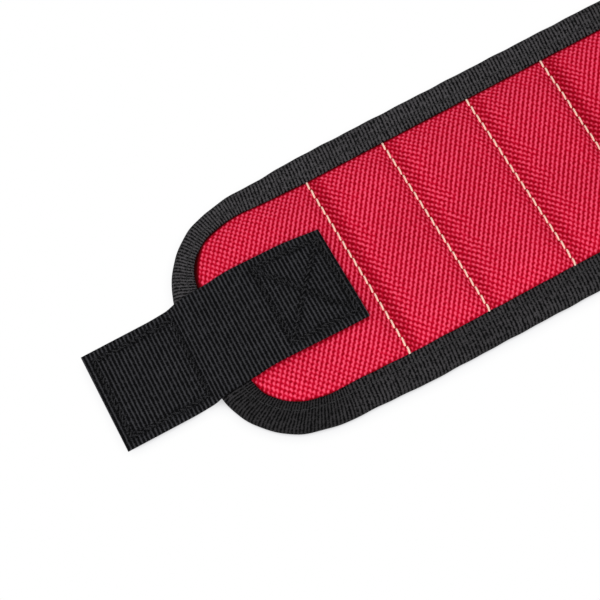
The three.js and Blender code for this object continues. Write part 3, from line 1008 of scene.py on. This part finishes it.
# The stitches pull the webbing down along their rows
def stitch_pull(x, y):
    total = np.zeros(np.broadcast(x, y).shape)
    for start, end in ANCHOR_ROWS + TAB_ROWS:
        a = np.array(start)
        d = np.array(end) - a
        t = np.clip(((x - a[0]) * d[0] + (y - a[1]) * d[1]) / (d @ d), 0, 1)
        away = np.hypot(x - a[0] - t * d[0], y - a[1] - t * d[1])
        total = np.maximum(total, bell(away, DIP_WIDTH))
    return total


# The woven edge of the loop strip lies lower than its pile
def selvage(x, y):
    inside = np.minimum(np.minimum(x - STRIP_START, STRIP_END - x), HALF_LOOP - np.abs(y))
    return 1 - smooth(inside, SELVAGE - SELVAGE_RUN, SELVAGE)


# Ribbons that lie over the band
Ribbon = namedtuple("Ribbon", "start bottom thickness half_width material dip depth skew lie")
STRAP_RIBBON = Ribbon(STRAP_TIP, strap_bottom, STRAP, HALF_STRAP, WEBBING,
                      stitch_pull, STITCH_DIP, RIB_SKEW, strap_lie)
PILE_RIBBON = Ribbon(STRIP_START, strip_bottom, LOOP_STRIP, HALF_LOOP, PILE,
                     selvage, SELVAGE_DIP, 0.0, straight_lie)


# Direction square to a ribbon along its length
def ribbon_up(x, bottom):
    reach = 0.3
    slope = (bottom(x + reach) - bottom(x - reach)) / (2 * reach)
    length = np.hypot(1, slope)
    return np.stack([-slope / length, np.zeros_like(x), 1 / length], -1)


# Points on a ribbon at a height over its underside, with the direction square to it there
def on_ribbon(ribbon, x, y, height):
    up = ribbon_up(x, ribbon.bottom)
    base = np.stack([x, ribbon.lie(x, y), ribbon.bottom(x)], -1)
    return base + up * height, up


# Distance over the top of a ribbon from the point where it starts
def ribbon_run(ribbon, x):
    plan = np.arange(ribbon.start, x[-1] + 2 * RUN_STEP, RUN_STEP)
    base = np.stack([plan, np.zeros_like(plan), ribbon.bottom(plan)], -1)
    return np.interp(x, plan, run_along(base + ribbon.thickness * ribbon_up(plan, ribbon.bottom)))


# Section of a ribbon as place across and height: over the top, round one edge, back below, round the other
def ribbon_section(thickness, half_width):
    half = thickness / 2
    flat = np.linspace(-1, 1, RIBBON_COLUMNS) * (half_width - half)
    turn = np.radians(np.arange(75, -76, -30))
    edge = [(half_width - half + half * math.cos(a), half + half * math.sin(a)) for a in turn]
    top = [(y, thickness) for y in flat]
    below = [(y, 0.0) for y in flat[::-3]]
    other_edge = [(-y, z) for y, z in edge[::-1]]
    return np.array(top + edge + below + other_edge)


def ribbon_piece(name, ribbon, x0, x1):
    xs = np.linspace(x0, x1, round((x1 - x0) / RIBBON_STEP) + 1)
    section = ribbon_section(ribbon.thickness, ribbon.half_width)
    across = np.broadcast_to(section[:, 0], (len(xs), len(section)))
    on_top = section[:, 1] >= ribbon.thickness
    hold = np.where(on_top, ribbon.dip(xs[:, None], across), 0)
    lift = section[:, 1] - ribbon.depth * hold
    base = np.stack([xs, np.zeros_like(xs), ribbon.bottom(xs)], -1)
    rings = base[:, None, :] + ribbon_up(xs, ribbon.bottom)[:, None, :] * lift[:, :, None]
    rings[:, :, 1] = ribbon.lie(xs[:, None], across)
    along = ribbon_run(ribbon, xs)
    skew = ribbon.skew * section[:, 0]
    values = {"sewn": hold.ravel()}
    return swept(name, rings, along, run_around(section), ribbon.material, skew, values)


# Webbing strap and its threads
def strap_thread(name, rows):
    paths = []
    for start, end in rows:
        t = np.linspace(0, 1, STRAP_ROW_POINTS)
        x = start[0] + t * (end[0] - start[0])
        y = start[1] + t * (end[1] - start[1])
        paths.append(on_ribbon(STRAP_RIBBON, x, y, STRAP - THREAD_SINK))
    seam = stitches(name, paths, STRAP_STITCH, BLACK)
    return seam


def strap():
    free = ribbon_piece("strap_free", STRAP_RIBBON, STRAP_TIP, STRAP_CUT)
    bend_tab(free)
    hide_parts("strap_tab", "strap_bridge")
    sewn = ribbon_piece("strap_sewn", STRAP_RIBBON, STRAP_CUT, STRAP_END)
    bend(sewn, SPANS[0])
    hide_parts("strap_anchor")
    bend_tab(strap_thread("strap_seam_tab", TAB_ROWS))
    bend(strap_thread("strap_seam_anchor", ANCHOR_ROWS), SPANS[0])


# Hook patch under the tab: a base with rows of small bent hooks
def hook_patch():
    xs = np.linspace(HOOK_START, -TAB_STEP, HOOK_BASE_ROWS)
    ys = np.linspace(-HALF_HOOK, HALF_HOOK, HOOK_BASE_COLUMNS)
    x, y = np.meshgrid(xs, ys, indexing="ij")
    top = np.stack([x, y, np.full_like(x, HOOK)], -1)
    bottom = np.stack([x, y, np.full_like(x, HOOK_BASE)], -1)
    base = slab("hook_base", top, bottom, np.stack([x, y], -1), HOOKS)
    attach(base, "tab")
    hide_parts("hook_patch")
    hooks_piece = hook_rows()
    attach(hooks_piece, "tab")


# The hooks of one row bend forward, and those of the next row back
def hook_rows():
    reach, height, radius = HOOK_SHAPE.T
    ahead = np.gradient(HOOK_SHAPE[:, :2], axis=0)
    ahead /= np.linalg.norm(ahead, axis=1)[:, None]
    level = np.zeros_like(reach)
    sideways = np.stack([level, level + 1, level], -1)
    corners = tube_corners(len(reach), HOOK_SIDES)
    points = []
    faces = []
    columns = np.arange(-HALF_HOOK + HOOK_MARGIN, HALF_HOOK - HOOK_MARGIN, HOOK_PITCH)
    for row, x in enumerate(np.arange(HOOK_START + HOOK_MARGIN, -TAB_STEP - HOOK_MARGIN, HOOK_PITCH)):
        way = 1 if row % 2 else -1
        side = np.stack([-way * ahead[:, 1], level, ahead[:, 0]], -1)
        for y in columns:
            centre = np.stack([x + way * reach, level + y, height], -1)
            faces += tube_faces(corners, HOOK_SIDES, len(points) * len(reach) * HOOK_SIDES)
            points.append(tube_points(centre, side, sideways, radius, HOOK_SIDES))
    points = np.concatenate(points)
    return build("hook_rows", points, faces, corner_uv(faces, points[:, :2]), HOOKS)


# Loop strip at the far end, sewn down all round
def strip_row(start, end):
    x = np.linspace(start[0], end[0], STRIP_ROW_POINTS)
    y = np.linspace(start[1], end[1], STRIP_ROW_POINTS)
    return on_ribbon(PILE_RIBBON, x, y, LOOP_STRIP - SELVAGE_DIP + STRIP_THREAD_LIFT)


def loop_strip():
    row_y = HALF_LOOP - STRIP_ROW_INSET
    first, last = SPANS[6:]
    parts = (
        (first, STRIP_START, first.x1, ["loop_strip_1", "loop_strip_2"]),
        (last, STRIP_END, last.x0, ["loop_strip_3"]),
    )
    for span, end_x, joint_x, nodes in parts:
        x0, x1 = sorted((end_x, joint_x))
        piece = ribbon_piece(f"loop_tape_{span.number}", PILE_RIBBON, x0, x1)
        bend(piece, span)
        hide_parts(*nodes)
        row_x = end_x + math.copysign(STRIP_ROW_INSET, joint_x - end_x)
        rows = [strip_row((joint_x, y), (row_x, y)) for y in (-row_y, row_y)]
        rows.append(strip_row((row_x, -row_y), (row_x, row_y)))
        seam = stitches(f"loop_seam_{span.number}", rows, STRIP_STITCH, BLACK)
        bend(seam, span)


def magnets():
    for name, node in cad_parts.items():
        if name.startswith("magnet"):
            node.data.materials.clear()
            node.data.materials.append(STEEL)


for span in SPANS:
    front_piece(span)
    lining_piece(span)
    binding_piece(span)
    if span.hinge in STITCH_LINES:
        quilt_row(span)
strap()
hook_patch()
loop_strip()
magnets()


# Floor that shows only the soft shadow where the band rests on it
def floor(half_size, drop, shadow_reach):
    look = Look("floor")
    open_sky = look.node("ShaderNodeAmbientOcclusion", {"Distance": shadow_reach}, samples=16).outputs["AO"]
    contact = srgb(120, 120, 122)
    near = srgb(246, 246, 247)
    white = srgb(255, 255, 255)
    tone = look.ramp(open_sky, (0.0, contact), (0.5, near), (0.85, white))
    clear = look.node("ShaderNodeBsdfTransparent", {0: tone}).outputs[0]
    look.node("ShaderNodeOutputMaterial", {0: clear})
    signs = ((-1, -1), (1, -1), (1, 1), (-1, 1))
    mesh = bpy.data.meshes.new("floor")
    mesh.from_pydata([(half_size * x, half_size * y, 0) for x, y in signs], [], [(0, 1, 2, 3)])
    mesh.materials.append(look.owner)
    piece = bpy.data.objects.new("floor", mesh)
    piece.location.z = -drop
    piece.visible_diffuse = False
    piece.visible_shadow = False
    bpy.context.collection.objects.link(piece)


# White where it is seen, softer as light, and dimmer from below
def surroundings(below, above):
    look = Look(bpy.data.worlds.new("surroundings"))
    path = look.node("ShaderNodeLightPath").outputs
    mirrored = look.math("MAXIMUM", path["Is Glossy Ray"], path["Is Transmission Ray"])
    seen = look.math("MAXIMUM", path["Is Camera Ray"], mirrored)
    direction = look.node("ShaderNodeTexCoord").outputs["Generated"]
    height = look.node("ShaderNodeSeparateXYZ", {0: direction}).outputs[2]
    strength = look.span(height, -0.1, 0.1, below, above)
    fill = look.node("ShaderNodeBackground", {0: (1, 1, 1, 1), 1: strength}).outputs[0]
    white = look.node("ShaderNodeBackground", {0: (1, 1, 1, 1), 1: 1.0}).outputs[0]
    shown = look.node("ShaderNodeMixShader", {0: seen, 1: fill, 2: white}).outputs[0]
    look.node("ShaderNodeOutputWorld", {0: shown})
    bpy.context.scene.world = look.owner


def soft_light(name, direction, distance, size, watts):
    light = bpy.data.lights.new(name, "AREA")
    light.size = size
    light.energy = watts
    lamp = bpy.data.objects.new(name, light)
    out = Vector(direction).normalized()
    lamp.location = out * distance
    lamp.rotation_euler = (-out).to_track_quat("-Z", "Y").to_euler()
    bpy.context.collection.objects.link(lamp)


# Camera that looks at a point of the band, turned by angles in degrees
def camera(azimuth, elevation, roll, target, distance, lens):
    azimuth, elevation, roll = (math.radians(angle) for angle in (azimuth, elevation, roll))
    level = math.cos(elevation)
    back = Vector((math.sin(azimuth) * level, -math.cos(azimuth) * level, math.sin(elevation)))
    flat_right = Vector((math.cos(azimuth), math.sin(azimuth), 0))
    flat_up = back.cross(flat_right)
    right = math.cos(roll) * flat_right + math.sin(roll) * flat_up
    up = -math.sin(roll) * flat_right + math.cos(roll) * flat_up
    turn = Matrix((right, up, back)).transposed().to_4x4()
    data = bpy.data.cameras.new("camera")
    data.sensor_width = 36
    data.lens = lens
    data.clip_end = 20
    eye = bpy.data.objects.new("camera", data)
    eye.matrix_world = Matrix.Translation(Vector(place(target)) + back * distance) @ turn
    bpy.context.collection.objects.link(eye)
    bpy.context.scene.camera = eye


floor(half_size=2, drop=0.0002, shadow_reach=0.006)
surroundings(below=0.36, above=0.62)
soft_light("key", direction=(-0.5, -0.6, 0.95), distance=0.75, size=0.3, watts=3.0)
camera(azimuth=-22.65, elevation=65.44, roll=-7.05, target=(37.61, 1.4, 0), distance=0.943, lens=177.06)
bpy.context.scene.view_settings.view_transform = "Standard"
